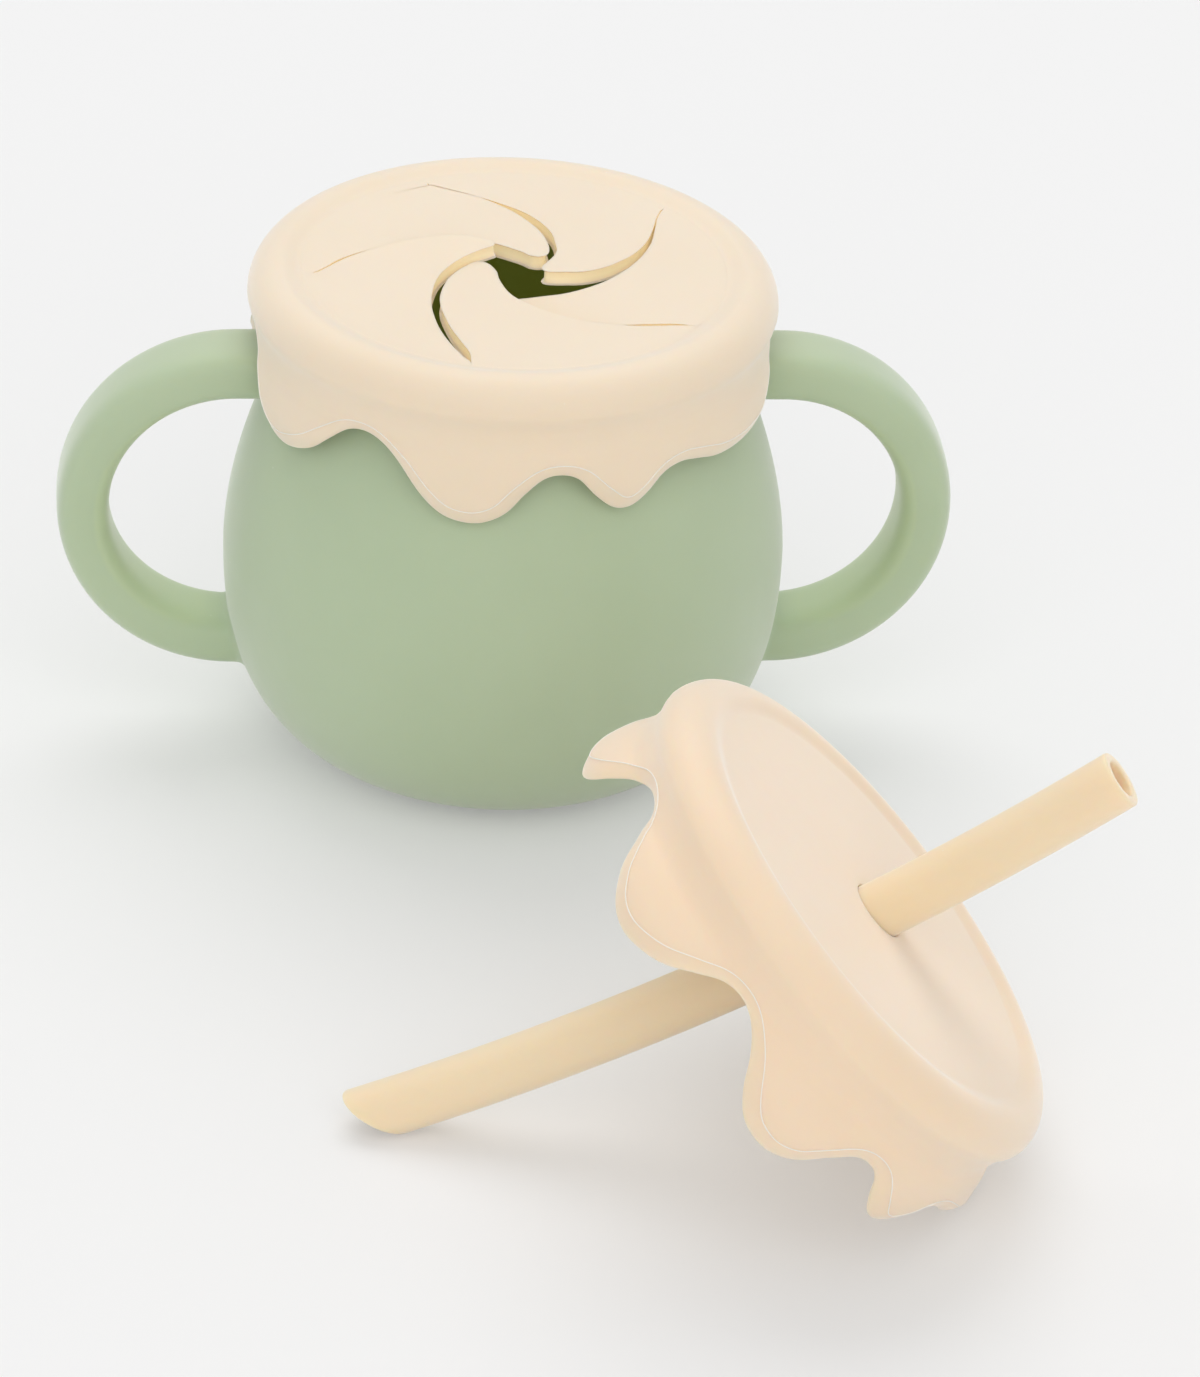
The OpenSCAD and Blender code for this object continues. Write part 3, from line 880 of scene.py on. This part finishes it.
@dataclass(frozen=True)
class Slit:
    """One curved slit between two flaps.

    The slits share one centre line, on which the way in counts from the point numbered first. The two walls
    stand off it by amounts that change on the way, inwards of its bow (negative) and outwards (positive).
    """

    at: float
    inner: tuple[Pair, ...]
    outer: tuple[Pair, ...]
    square: float = 2.0
    first: int = 2
    line: tuple[Pair, ...] = (
        (36.0, 2.0), (33.6, 0.75), (32.3, 0.0), (30.0, -1.5), (28.0, -3.1), (25.0, -5.3), (22.0, -7.0),
        (18.0, -8.6), (14.0, -9.5), (10.0, -9.8), (7.0, -9.5), (4.8, -8.8), (2.4, -7.7), (0.3, -6.3),
        (-1.6, -4.6), (-2.9, -2.9), (-4.0, -1.2), (-4.8, 0.8))

    def wall(self, outward: bool, stations: int = 26) -> list[np.ndarray]:
        """Points along one wall from the slit's outer end inwards.

        Args:
            outward: Whether it is the wall on the bow's outer side.
            stations: How many points.

        Returns:
            The points in the lid's plane.
        """
        steps = 10
        path = smooth_line(self.line, steps)
        way = ways(path)
        way -= way[self.first * steps]
        knots = self.outer if outward else self.inner
        tangent = np.gradient(path, way, axis=0)
        a = math.radians(self.at)
        turned = np.array([[math.cos(a), math.sin(a)], [-math.sin(a), math.cos(a)]])
        points = []
        for s in np.linspace(knots[0][0], knots[-1][0], stations):
            p = np.array([np.interp(s, way, path[:, k]) for k in (0, 1)])
            d = unit([np.interp(s, way, tangent[:, k]) for k in (0, 1)])
            points.append((p + np.array([-d[1], d[0]]) * float(through(knots, s))) @ turned)
        return points

    def end(self, outward: bool) -> list[np.ndarray]:
        """Half of the rounded outer end.

        Args:
            outward: Which half.

        Returns:
            The points from the end's middle towards the wall.
        """
        near, far = self.wall(False)[0], self.wall(True)[0]
        middle = (near + far) / 2
        side = (far if outward else near) - middle
        half = np.linalg.norm(side)
        out = np.array([-side[1], side[0]]) / half
        if out @ middle < 0:
            out = -out
        arc = []
        for angle in np.linspace(0, 90, 8)[:-1]:
            c, s = math.cos(math.radians(angle)), math.sin(math.radians(angle))
            arc.append(middle + out * half * c ** (2 / self.square) + side * s ** (2 / self.square))
        return arc


@dataclass(frozen=True)
class Flap:
    """One flap: its tip's outline, and how far and over what length it droops or lifts at rest."""

    tip: tuple[Pair, ...]
    droop: float = 0.0
    span: float = 26.0


@dataclass
class SnackLid:
    """The snack lid: ring, skirt and five soft flaps between curved slits."""

    form: DripForm = field(default_factory=lambda: DripForm(full_r=42.55))
    top: float = 82.6
    hinge_d: float = 23.3
    bend: float = 8.0
    bevel: float = 0.5
    thick: float = 2.4
    across: int = 22
    hinge_at: tuple[float, ...] = (88.03, 16.03, -55.97, -127.97, -199.97)
    slits: tuple[Slit, ...] = (
        Slit(118.2,
             ((0.7, -0.3), (3, -0.2), (7, -0.2), (10, -0.3), (13, -0.4), (16, -0.5), (20, -0.65),
              (23, -0.72), (26, -0.82), (28, -0.9)),
             ((0.7, 0.3), (2, 0.35), (6, 0.5), (10, 0.75), (13, 1.0), (16, 1.4), (19, 1.75), (22, 1.85),
              (25, 1.74), (28, 1.42), (29, 1.3))),
        Slit(45.0,
             ((0.2, -0.65), (5, -0.7), (10, -0.66), (13, -0.64), (17, -0.8), (19.5, -1.09), (22, -1.33),
              (24, -1.69), (26, -2.12), (28, -2.63), (30, -3.21)),
             ((0.2, 0.5), (3, 0.42), (5, 0.5), (8, 0.68), (10, 0.92), (12, 1.17), (15, 1.5), (19, 1.95),
              (22, 2.27), (26, 2.5), (29, 2.4), (32, 2.1), (34, 1.5), (37, 0.88), (39, 0.75)), 4.0),
        Slit(-30.6,
             ((-0.5, -0.5), (1, -0.75), (4, -0.95), (7, -1.15), (11, -1.35), (14, -1.4), (20, -1.1),
              (28, -0.8), (31, -0.7)),
             ((-0.5, 0.4), (1, 0.55), (5, 0.7), (8, 0.67), (11, 0.55), (15, 0.5), (20, 0.2), (28, -0.35),
              (30, -0.28), (32, -0.36), (34, -0.6), (36, -0.7), (38, -0.8), (39.5, -0.75))),
        Slit(-100.4,
             ((-0.2, -0.8), (1, -1.2), (3, -1.6), (6, -1.85), (9, -1.98), (12, -1.95), (15, -1.8),
              (17.5, -1.55), (20, -1.25), (22, -1.07), (26, -0.92), (29, -0.6), (32, -0.25), (34, -0.12)),
             ((-0.2, 0.4), (1, 0.8), (4, 1.0), (7, 0.9), (11, 0.78), (15, 0.8), (19, 1.0), (22, 1.2),
              (25, 1.38), (28, 1.7), (31, 1.93), (34, 1.94), (37, 1.75), (39, 1.65))),
        Slit(-170.7,
             ((0.2, -0.6), (1, -0.7), (3, -0.52), (6, -0.25), (8, -0.2), (12, -0.3), (17, -0.35),
              (25, -0.8), (30, -1.4), (33, -1.8)),
             ((0.2, 0.4), (3, 0.67), (5, 0.98), (7, 1.2), (11, 1.15), (15, 1.1), (22, 1.4), (33, 1.63),
              (35, 1.45), (37, 1.47), (39, 1.41))),
    )
    flaps: tuple[Flap, ...] = (
        Flap(((6.9, 8.2), (6.95, 6.6), (6.6, 5.0), (5.8, 3.1), (5.0, 1.5), (4.75, 0.6), (5.1, 0.05),
              (6.2, -0.05))),
        Flap(((-0.2, -5.6), (-0.9, -6.4), (-0.9, -7.6)), -15.0, 24.0),
        Flap(((-3.95, 0.1), (-4.6, 1.0), (-5.4, 1.4), (-6.2, 1.15))),
        Flap(((-3.25, 4.9), (-3.5, 5.1)), 9.4, 27.0),
        Flap(((3.2, 5.0), (3.9, 5.0), (4.5, 5.4), (4.8, 6.3), (4.75, 8.0), (4.5, 9.3))),
    )

    def outline(self, i: int, count: int = 74) -> list[np.ndarray]:
        """Both sides of flap i from the seam over the slits' outer ends to the middle of its tip.

        Args:
            i: The flap, between slits i and i + 1.
            count: Points on each side from the slit's outer end.

        Returns:
            For each side the points, the directions in to the flap and each point's share of the bevel.
        """
        first, second = self.slits[i], self.slits[(i + 1) % 5]
        a, b = first.end(True) + first.wall(True), second.end(False) + second.wall(False)
        tip = [np.array(p) for p in self.flaps[i].tip]
        steps = 8
        whole = smooth_line(a + tip + b[::-1], steps)
        way = ways(whole)
        middle = way[(len(a) + len(tip) // 2) * steps]
        tangent = np.gradient(whole, way, axis=0)
        sides = []
        for start in (0, way[-1]):
            at = np.linspace(start, middle, count)
            p, d = (np.stack([np.interp(at, way, v[:, k]) for k in (0, 1)], axis=1) for v in (whole, tangent))
            sides.append((p, np.stack([-d[:, 1], d[:, 0]], axis=1) / np.linalg.norm(d, axis=1)[:, None]))
        p, n = sides[0]
        flip = 1.0 if (polar(20.0, self.hinge_at[i]) - p[count // 3]) @ n[count // 3] > 0 else -1.0
        result = []
        for p, n in sides:
            ray = unit(p[0])
            edge = p[0] + ray * (self.bevel + 0.06)
            far = unit(edge) * self.form.seam_r
            result += [np.vstack([far, (far + edge) / 2, edge, p]),
                       np.vstack([np.zeros((3, 2)), ray, n[1:] * flip]),
                       np.append([0.0] * 3, [1.0] * count)]
        return result

    def flap(self, i: int, finish: bpy.types.Material) -> bpy.types.Object:
        """Makes flap i, from the seam to its tip, bent to where it rests.

        Args:
            i: The flap, from 0.
            finish: The material.

        Returns:
            The flap.
        """
        pa, na, wa, pb, nb, wb = self.outline(i)
        across = self.across
        seam_a = math.degrees(math.atan2(*pa[0][::-1]))
        span_out = turn(seam_a, math.degrees(math.atan2(*pb[0][::-1])))
        seam = np.array([polar(self.form.seam_r, seam_a + span_out * k / across) for k in range(1, across)])
        ia, ib = pa + na * (self.bevel * wa)[:, None], pb + nb * (self.bevel * wb)[:, None]
        count = len(ia)
        inner = np.zeros((count, across + 1, 2))
        for j in range(count):
            flat = np.array([ia[j] + (ib[j] - ia[j]) * k / across for k in range(across + 1)])
            if j < count - 1:
                chord = np.array([pa[0] + (pb[0] - pa[0]) * k / across for k in range(1, across)])
                flat[1:-1] += (seam - chord) * (1 - float(ease(j / (count * 0.45))))
            inner[j] = flat
        outline = np.vstack([pa, pb[-2::-1], seam[::-1]])
        offset = np.vstack([na * wa[:, None], (nb * wb[:, None])[-2::-1], np.zeros_like(seam)])
        row = across + 1
        rim_of = [j * row for j in range(count)] + [j * row + across for j in range(count - 2, -1, -1)]
        rim_of += list(range(across - 1, 0, -1))
        top = grid_faces(count, row, False, False)
        base = count * row
        points = [(x, y, z) for z in (0.0, -self.thick) for x, y in inner.reshape(-1, 2)]
        faces = top + [tuple(base + v for v in f[::-1]) for f in top]
        levels = [(self.bevel * (1 - math.sin(a)), -self.bevel * (1 - math.cos(a)))
                  for a in map(math.radians, (18.0, 36.0, 54.0, 72.0, 90.0))]
        levels += [(0.0, -self.thick * 0.5), (0.0, -self.thick + 0.2), (0.15, -self.thick + 0.05)]
        loop = len(outline)

        def band(a: list[int], b: list[int]) -> list[tuple[int, ...]]:
            """Faces between two loops of points."""
            return [(a[k], a[(k + 1) % loop], b[(k + 1) % loop], b[k]) for k in range(loop)]

        previous = rim_of
        for inset, z in levels:
            ring = [len(points) + k for k in range(loop)]
            points += [(x + dx * inset, y + dy * inset, z) for (x, y), (dx, dy) in zip(outline, offset)]
            faces += band(previous, ring)
            previous = ring
        faces += band(previous, [base + v for v in rim_of])
        solid = self.bent(np.array(points), i)
        solid[:, 2] += self.top
        return mesh_object(f"flap_{i + 1}", solid, faces, finish, 55)

    def bent(self, points: np.ndarray, i: int) -> np.ndarray:
        """Bends flap i in a smooth curl to where it rests.

        Args:
            points: Vertices of the level flap.
            i: The flap.

        Returns:
            The bent vertices.
        """
        way = polar(1.0, self.hinge_at[i])
        inside = self.hinge_d - points[:, :2] @ way
        reach = np.linspace(0, 40, 401)
        angle = np.radians(self.flaps[i].droop) * ease(reach / self.flaps[i].span)
        step = reach[1] - reach[0]
        middle = (angle[1:] + angle[:-1]) / 2
        along, up = (np.concatenate([[0], np.cumsum(part(middle) * step)]) for part in (np.cos, np.sin))
        a = np.interp(inside, reach, angle, left=0.0)
        low = points[:, 2] + self.thick / 2
        new = np.where(inside > 0, np.interp(inside, reach, along), inside) - low * np.sin(a)
        result = points.copy()
        result[:, :2] += np.outer(inside - new, way)
        result[:, 2] = np.interp(inside, reach, up, left=0.0) + low * np.cos(a) - self.thick / 2
        return result

    def make(self) -> list[bpy.types.Object]:
        """Makes and dresses the snack lid.

        Returns:
            Ring with skirt, mould line finished pale as a painted highlight, and five flaps.
        """
        cream, soft, pale = CREAM.build(), FLAP.build(), HIGHLIGHT_LINE.build()
        rows, start = self.form.rings()
        lift = np.array([0, 0, self.top])
        faces = grid_faces(len(rows), self.form.columns, True, True)
        ring = mesh_object("drip_ring", np.vstack(rows) + lift, faces, cream, 55)
        bead = self.form.bead("mould_line_painted_highlight", self.form.bead_path(rows, start) + lift, pale)
        pieces = [dress(ring, Body.SNACK_LID, Slot.SNACK_LID, "snack_lid"),
                  dress(bead, Body.SNACK_LID, Slot.SNACK_LID)]
        for i in range(5):
            flap = self.flap(i, soft)
            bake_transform(flap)
            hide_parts(f"petal_{i + 1}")
            LOG.info("%s bends from the lid, %d faces", flap.name, len(flap.data.polygons))
            pieces.append(flap)
        return pieces


@dataclass
class StrawLid:
    """The second lid, leaning on its skirt, and the bent straw through its middle."""

    form: DripForm = field(default_factory=DripForm)
    x: float = 58.1
    y: float = -117.6
    z: float = 42.1674
    lean: float = 47.3
    way: float = 5.0
    spin: float = 2.5
    thick: float = 2.4
    straw_od: float = 8.8
    straw_bore: float = 5.6
    bend_r: float = 468.0
    straw_way: float = 1.5
    rise: float = 32.8938
    hole_at: Pair = (1.05, -0.65)
    below: float = 81.0
    above: float = 42.5
    gap: float = 0.1
    foot_cut: float = 50.0

    def lean_frame(self) -> Matrix:
        """From the leaning lid's frame, before its own turn, to the shared one, in millimetres."""
        return (Matrix.Translation((self.x, self.y, self.z)) @ Matrix.Rotation(math.radians(self.way), 4, "Z")
                @ Matrix.Rotation(math.radians(self.lean), 4, "Y"))

    def lid_frame(self) -> Matrix:
        """From the lid's own frame to the shared one, in millimetres."""
        return self.lean_frame() @ Matrix.Rotation(math.radians(self.spin), 4, "Z")

    def straw_frame(self) -> Matrix:
        """From the straw's own frame at its hole, with X up along it, to the shared one."""
        middle = self.lean_frame() @ Matrix.Translation((*self.hole_at, -self.thick / 2))
        return (Matrix.Translation(middle.translation) @ Matrix.Rotation(math.radians(self.straw_way), 4, "Z")
                @ Matrix.Rotation(math.radians(-self.rise), 4, "Y"))

    @staticmethod
    def moved(frame: Matrix, points: np.ndarray) -> np.ndarray:
        """Points carried by a frame."""
        m = np.array(frame)
        return points @ m[:3, :3].T + m[:3, 3]

    def hole(self, turns: np.ndarray, depth: float, grow: float) -> np.ndarray:
        """The hole's outline at a depth below the lid's top, where a bore along the straw meets it."""
        to_lid = np.array(self.lid_frame().inverted() @ self.straw_frame())
        centre, axis = to_lid[:3, 3], to_lid[:3, 0]
        u = unit(np.cross((0, 0, 1), axis))
        v = np.cross(axis, u)
        r = self.straw_od / 2 + self.gap + grow
        level = []
        for a in turns:
            d = np.array([math.cos(a), math.sin(a)])
            m = np.array([[u[0], v[0]], [u[1], v[1]]])
            w = np.linalg.solve(m, d)
            p = centre + (u * w[0] + v * w[1]) * r / np.linalg.norm(w)
            level.append(p + axis * (-depth - p[2]) / axis[2])
        return np.array(level)

    def lid(self, finish: bpy.types.Material) -> tuple[bpy.types.Object, np.ndarray]:
        """Makes the second lid in one piece.

        Args:
            finish: The material.

        Returns:
            The lid and the path of its mould line.
        """
        rows, start = self.form.rings()
        turns = np.arctan2(rows[0][:, 1], rows[0][:, 0])
        seam_top, seam_low = rows[0], rows[-1]
        bevel = 0.35

        def spread(ring: np.ndarray, edge: np.ndarray, steps: int) -> list[np.ndarray]:
            """Rows between the ring's seam and the hole."""
            return [ring + (edge - ring) * (k / steps) for k in range(1, steps)]

        top_edge = self.hole(turns, 0.0, bevel)
        low_edge = self.hole(turns, self.thick, bevel)
        middle = spread(seam_top, top_edge, 16)[::-1]
        under = spread(seam_low, low_edge, 8)
        hole_rows = [low_edge]
        for low, angles in ((True, (30.0, 60.0, 90.0)), (False, (90.0, 60.0, 30.0))):
            for a in map(math.radians, angles):
                depth, grow = bevel * (1 - math.cos(a)), bevel * (1 - math.sin(a))
                hole_rows.append(self.hole(turns, self.thick - depth if low else depth, grow))
            if low:
                hole_rows.append(self.hole(turns, self.thick / 2, 0.0))
        hole_rows.append(top_edge)
        whole = rows + under + hole_rows + middle
        points = self.moved(self.lid_frame(), np.vstack(whole))
        faces = grid_faces(len(whole), self.form.columns, True, True)
        obj = mesh_object("straw_lid_form", points, faces, finish, 55)
        return obj, self.moved(self.lid_frame(), self.form.bead_path(rows, start))

    def on_straw(self, s: Any, radius: Any, turn_: np.ndarray) -> np.ndarray:
        """Points of the straw's skin.

        Args:
            s: Way along the straw from its hole, upwards positive.
            radius: Distance from its centre line.
            turn_: Angle round it, 0 on the bend's inner side.

        Returns:
            The points in the straw's frame.
        """
        a = np.broadcast_to(s, turn_.shape) / self.bend_r
        r = self.bend_r - radius * np.cos(turn_)
        return np.stack([r * np.sin(a), np.broadcast_to(radius, turn_.shape) * np.sin(turn_),
                         self.bend_r - r * np.cos(a)], axis=1)

    def straw(self, finish: bpy.types.Material) -> bpy.types.Object:
        """Makes the straw with its slanting foot and square mouth end."""
        count = 72
        around = np.linspace(0, 2 * math.pi, count, endpoint=False)
        outer, bore, soft = self.straw_od / 2, self.straw_bore / 2, 0.4

        def foot(radius: float, lift: float) -> np.ndarray:
            """Way along the straw of the slanting cut, at a distance from its centre line."""
            return -self.below + lift - radius * np.cos(around) / math.tan(math.radians(self.foot_cut))

        inner, rows, mouth = [], [], []
        for a in map(math.radians, (90, 60, 30, 0)):
            r = bore + soft - soft * math.cos(math.radians(90) - a)
            inner.insert(0, self.on_straw(foot(r, soft * (1 - math.sin(a)) * 0.9), r, around))
            r = outer - soft + soft * math.cos(a)
            rows.append(self.on_straw(foot(r, soft * (1 - math.sin(a))), r, around))
        body = [self.on_straw(foot(outer, soft) * (1 - t) + self.above * t - soft * t, outer, around)
                for t in np.linspace(0.01, 1, 90)]
        for middle, side, angles in ((outer - soft, 1, (30, 60, 90)), (bore + soft, -1, (90, 60, 30, 0))):
            for a in map(math.radians, angles):
                s = self.above - soft + soft * math.sin(a)
                mouth.append(self.on_straw(s, middle + side * soft * math.cos(a), around))
        back = [self.on_straw((foot(bore, soft) * (1 - t) + (self.above - soft) * t), bore, around)
                for t in np.linspace(0.97, 0.03, 40)]
        whole = rows + body + mouth + back + inner
        points = self.moved(self.straw_frame(), np.vstack(whole))
        return mesh_object("straw_tube", points, grid_faces(len(whole), count, True, True), finish, 60)

    def make(self) -> list[bpy.types.Object]:
        """Makes and dresses the second lid and its straw.

        Returns:
            The lid, its mould line finished pale as a painted highlight, and the straw.
        """
        tan, pale, straw = TAN.build(), HIGHLIGHT_LINE.build(), STRAW.build()
        lid, path = self.lid(tan)
        bead = self.form.bead("straw_lid_mould_line_painted_highlight", path, pale)
        return [
            dress(lid, Body.STRAW_LID, Slot.STRAW_LID, "straw_lid"),
            dress(bead, Body.STRAW_LID, Slot.STRAW_LID),
            dress(self.straw(straw), Body.STRAW, Slot.STRAW, "straw"),
        ]


@dataclass
class Studio:
    """Pale floor, soft light and the camera at the photograph's angle."""

    focal_px: float = 6800.0
    frame_px: tuple[int, int] = (1200, 1377)
    elevation: float = 30.59
    roll: float = 2.87
    distance: float = 1114.071
    aim_px: Pair = (495.814, 717.664)
    floor: tuple[float, float, float] = (0.88, 0.88, 0.88)
    floor_half: float = 4.0
    lift: float = 0.3
    sky: float = 0.62

    def camera(self) -> bpy.types.Object:
        """Makes the camera.

        Returns:
            The camera, set as the scene's.
        """
        el, roll = math.radians(self.elevation), math.radians(self.roll)
        forward = np.array([0, math.cos(el), -math.sin(el)])
        right = np.array([1.0, 0, 0])
        down = np.cross(forward, right)
        c, s = math.cos(roll), math.sin(roll)
        r = np.array([[c, -s, 0], [s, c, 0], [0, 0, 1]]) @ np.array([right, down, forward])
        mid = np.array(self.frame_px) / 2
        off = (np.array(self.aim_px) - mid) / self.focal_px * self.distance
        eye = -r.T @ np.array([off[0], off[1], self.distance])
        data = bpy.data.cameras.new("camera")
        data.sensor_fit, data.sensor_height = "VERTICAL", 36.0
        data.lens = self.focal_px / self.frame_px[1] * 36.0
        data.clip_start, data.clip_end = 0.05, 20.0
        obj = bpy.data.objects.new("camera", data)
        pose = Matrix.Identity(4)
        for k in range(3):
            pose[k][0], pose[k][1], pose[k][2], pose[k][3] = r[0][k], -r[1][k], -r[2][k], eye[k] * MM
        obj.matrix_world = pose
        bpy.context.scene.collection.objects.link(obj)
        bpy.context.scene.camera = obj
        return obj

    def lamp(self, name: str, azimuth: float, height: float, strength: float, spread: float,
             colour: tuple[float, float, float] = (1, 1, 1)) -> None:
        """Adds a wide soft lamp that shines from a direction.

        Args:
            name: The lamp's name.
            azimuth: Direction it comes from, in degrees from +X.
            height: Its height above the horizon in degrees.
            strength: Its strength.
            spread: Its apparent size in degrees.
            colour: Its colour.
        """
        data = bpy.data.lights.new(name, "SUN")
        data.energy, data.angle, data.color = strength, math.radians(spread), colour
        obj = bpy.data.objects.new(name, data)
        obj.rotation_euler = (0, math.radians(90 - height), math.radians(azimuth))
        bpy.context.scene.collection.objects.link(obj)

    def make(self) -> None:
        """Makes floor, light and camera."""
        self.camera()
        shades = Shades("pale_floor")
        shades.set(shades.shader, {"Base Color": (*self.floor, 1), "Roughness": 0.9,
                                   "Specular IOR Level": 0.1})
        seen = shades.add("LightPath", {}).outputs["Is Camera Ray"]
        pale = shades.add("Emission", {"Color": (0.9, 0.9, 0.9, 1)})
        mix = shades.add("MixShader", {0: shades.times(seen, self.lift), 1: shades.shader.outputs[0],
                                       2: pale.outputs[0]})
        shades.set(shades.nodes["Material Output"], {"Surface": mix.outputs[0]})
        mesh = bpy.data.meshes.new("floor")
        half = self.floor_half
        corners = [(-half, -half, 0), (half, -half, 0), (half, half, 0), (-half, half, 0)]
        mesh.from_pydata(corners, [], [(0, 1, 2, 3)])
        mesh.materials.append(shades.material)
        floor = bpy.data.objects.new("floor", mesh)
        bpy.context.scene.collection.objects.link(floor)
        world = bpy.data.worlds.new("studio")
        bpy.context.scene.world = world
        world.use_nodes = True
        sky = world.node_tree.nodes["Background"]
        sky.inputs["Color"].default_value = (1, 1, 1, 1)
        sky.inputs["Strength"].default_value = self.sky
        self.lamp("back_light", 100, 58, 1.0, 50)
        self.lamp("front_fill", -84, 34, 0.8, 70)
        bpy.context.scene.view_settings.view_transform = "Standard"


def main() -> None:
    """Builds the container piece by piece and keeps its sizes."""
    logging.basicConfig(level=logging.INFO, format="%(name)s: %(message)s")
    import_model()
    Studio().make()
    pieces = Cup().make() + SnackLid().make() + StrawLid().make()
    LOG.info("%d pieces made", len(pieces))


if __name__ == "__main__":
    main()
